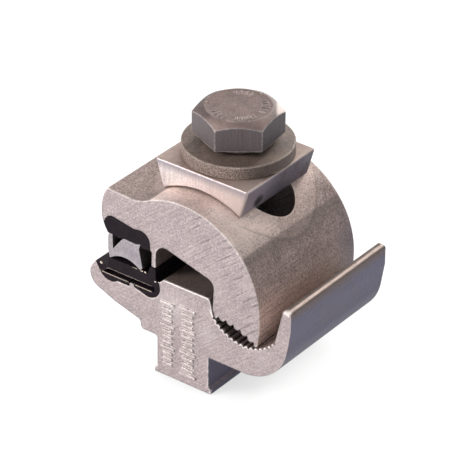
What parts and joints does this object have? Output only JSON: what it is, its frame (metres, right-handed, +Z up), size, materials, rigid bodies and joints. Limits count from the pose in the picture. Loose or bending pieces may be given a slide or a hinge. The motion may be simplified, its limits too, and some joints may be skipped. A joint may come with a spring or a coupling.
{
  "type": "branch clamp",
  "caption": "Bolted branch clamp: two extruded aluminium jaws, toothed seat for the main conductor, plastic-lined seat for a branch conductor, pressure saddle and hex bolt.",
  "frame": {"origin": "on the bolt's axis, at the bottom face of the lower jaw's boss, which the clamp stands on", "axes": "+Z up the bolt towards its head, +Y along the conductors away from the stamped front face, +X towards the hook and the main conductor"},
  "size_m": [0.0407, 0.0258, 0.0454],
  "materials": {
    "jaw_aluminium": "sawn front and back faces, dull mottled extruded skin elsewhere",
    "saddle_aluminium": "satin, faint drawn lines",
    "shoe_metal": "fine sawn face, dull",
    "insert_plastic": "black moulded, slight sheen on the edges",
    "washer_steel": "bronze grey, sandy rim",
    "bolt_steel": "grey brown, cold forged, dull"
  },
  "bodies": {
    "lower_jaw": {"lower_jaw": "jaw_aluminium", "lower_insert": "insert_plastic"},
    "saddle": {"pressure_saddle": "saddle_aluminium", "spring_washer": "washer_steel"},
    "bolt": {"hex_bolt": "bolt_steel"},
    "upper_jaw": {"upper_jaw": "jaw_aluminium", "upper_insert": "insert_plastic", "contact_shoe": "shoe_metal"}
  },
  "joints": [
    {"name": "bolt_lift", "type": "slide", "parent": "lower_jaw", "child": "saddle", "axis": [0, 0, 1], "range_m": [0, 0.01]},
    {"name": "bolt_turn", "type": "hinge", "parent": "saddle", "child": "bolt", "pos_m": [0, 0, 0.04], "axis": [0, 0, 1], "range_deg": [0, 2880]},
    {"name": "jaw_tilt", "type": "hinge", "parent": "saddle", "child": "upper_jaw", "pos_m": [0, 0, 0.0183], "axis": [0, 1, 0], "range_deg": [-8, 0]}
  ],
  "couplings": [
    {"joint": "bolt_turn", "follows": "bolt_lift", "rad_per_m": 5026.5},
    {"joint": "jaw_tilt", "follows": "bolt_lift", "rad_per_m": -13.963}
  ]
}
